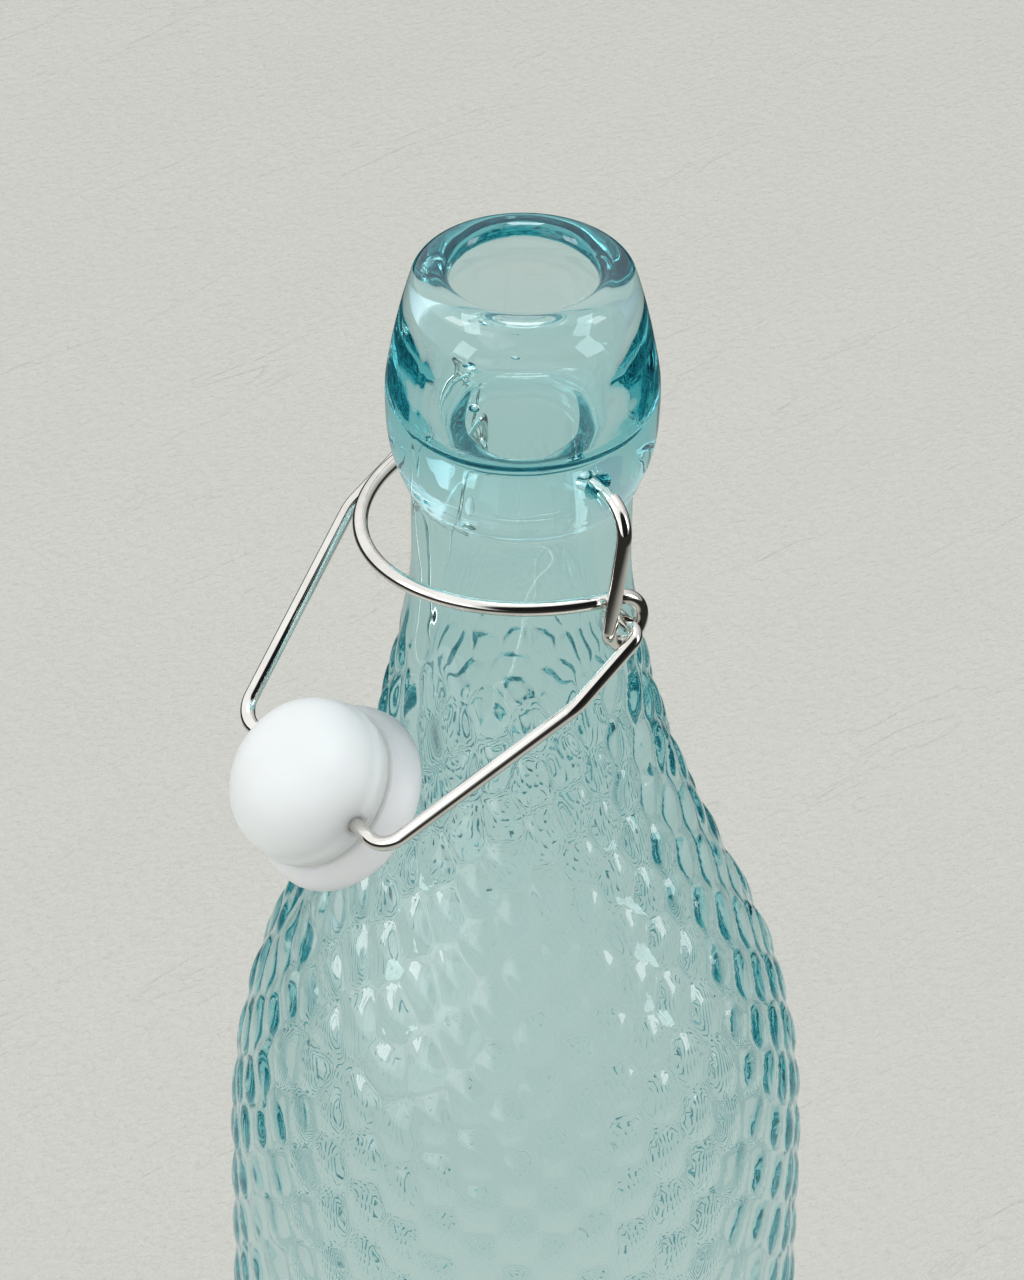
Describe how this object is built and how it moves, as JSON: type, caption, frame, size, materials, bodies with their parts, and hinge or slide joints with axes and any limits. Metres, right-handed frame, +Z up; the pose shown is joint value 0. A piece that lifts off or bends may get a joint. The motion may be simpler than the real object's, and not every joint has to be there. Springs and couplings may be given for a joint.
{
  "type": "swing-top bottle",
  "caption": "Tall aqua glass swing-top bottle with a wire lever, a wire bail and a domed stopper with a soft seal, shown open with the stopper hanging against the shoulder.",
  "frame": {"origin": "centre of the base, on the surface the bottle stands on", "axes": "+Z up along the bottle's axis; +X along the wires' hinge pins; -Y towards the hanging stopper"},
  "size_m": [0.086, 0.0897, 0.313],
  "materials": {
    "glass": "clear pale aqua, polished",
    "steel": "bright drawn wire",
    "stopper_plastic": "matte white",
    "silicone": "milky translucent"
  },
  "bodies": {
    "bottle": {"bottle": "glass"},
    "lever": {"lever_wire": "steel"},
    "bail": {"bail_wire": "steel"},
    "stopper": {"stopper": "stopper_plastic", "seal": "silicone"}
  },
  "joints": [
    {"name": "lever_hinge", "type": "hinge", "parent": "bottle", "child": "lever", "pos_m": [0, 0, 0.2871], "axis": [1, 0, 0], "range_deg": [-80, 0]},
    {"name": "bail_hinge", "type": "hinge", "parent": "lever", "child": "bail", "pos_m": [0, 0.0005, 0.2681], "axis": [1, 0, 0], "range_deg": [-50, 0]},
    {"name": "stopper_hinge", "type": "hinge", "parent": "bail", "child": "stopper", "pos_m": [0, -0.03521, 0.2389], "axis": [1, 0, 0], "range_deg": [0, 50]}
  ]
}
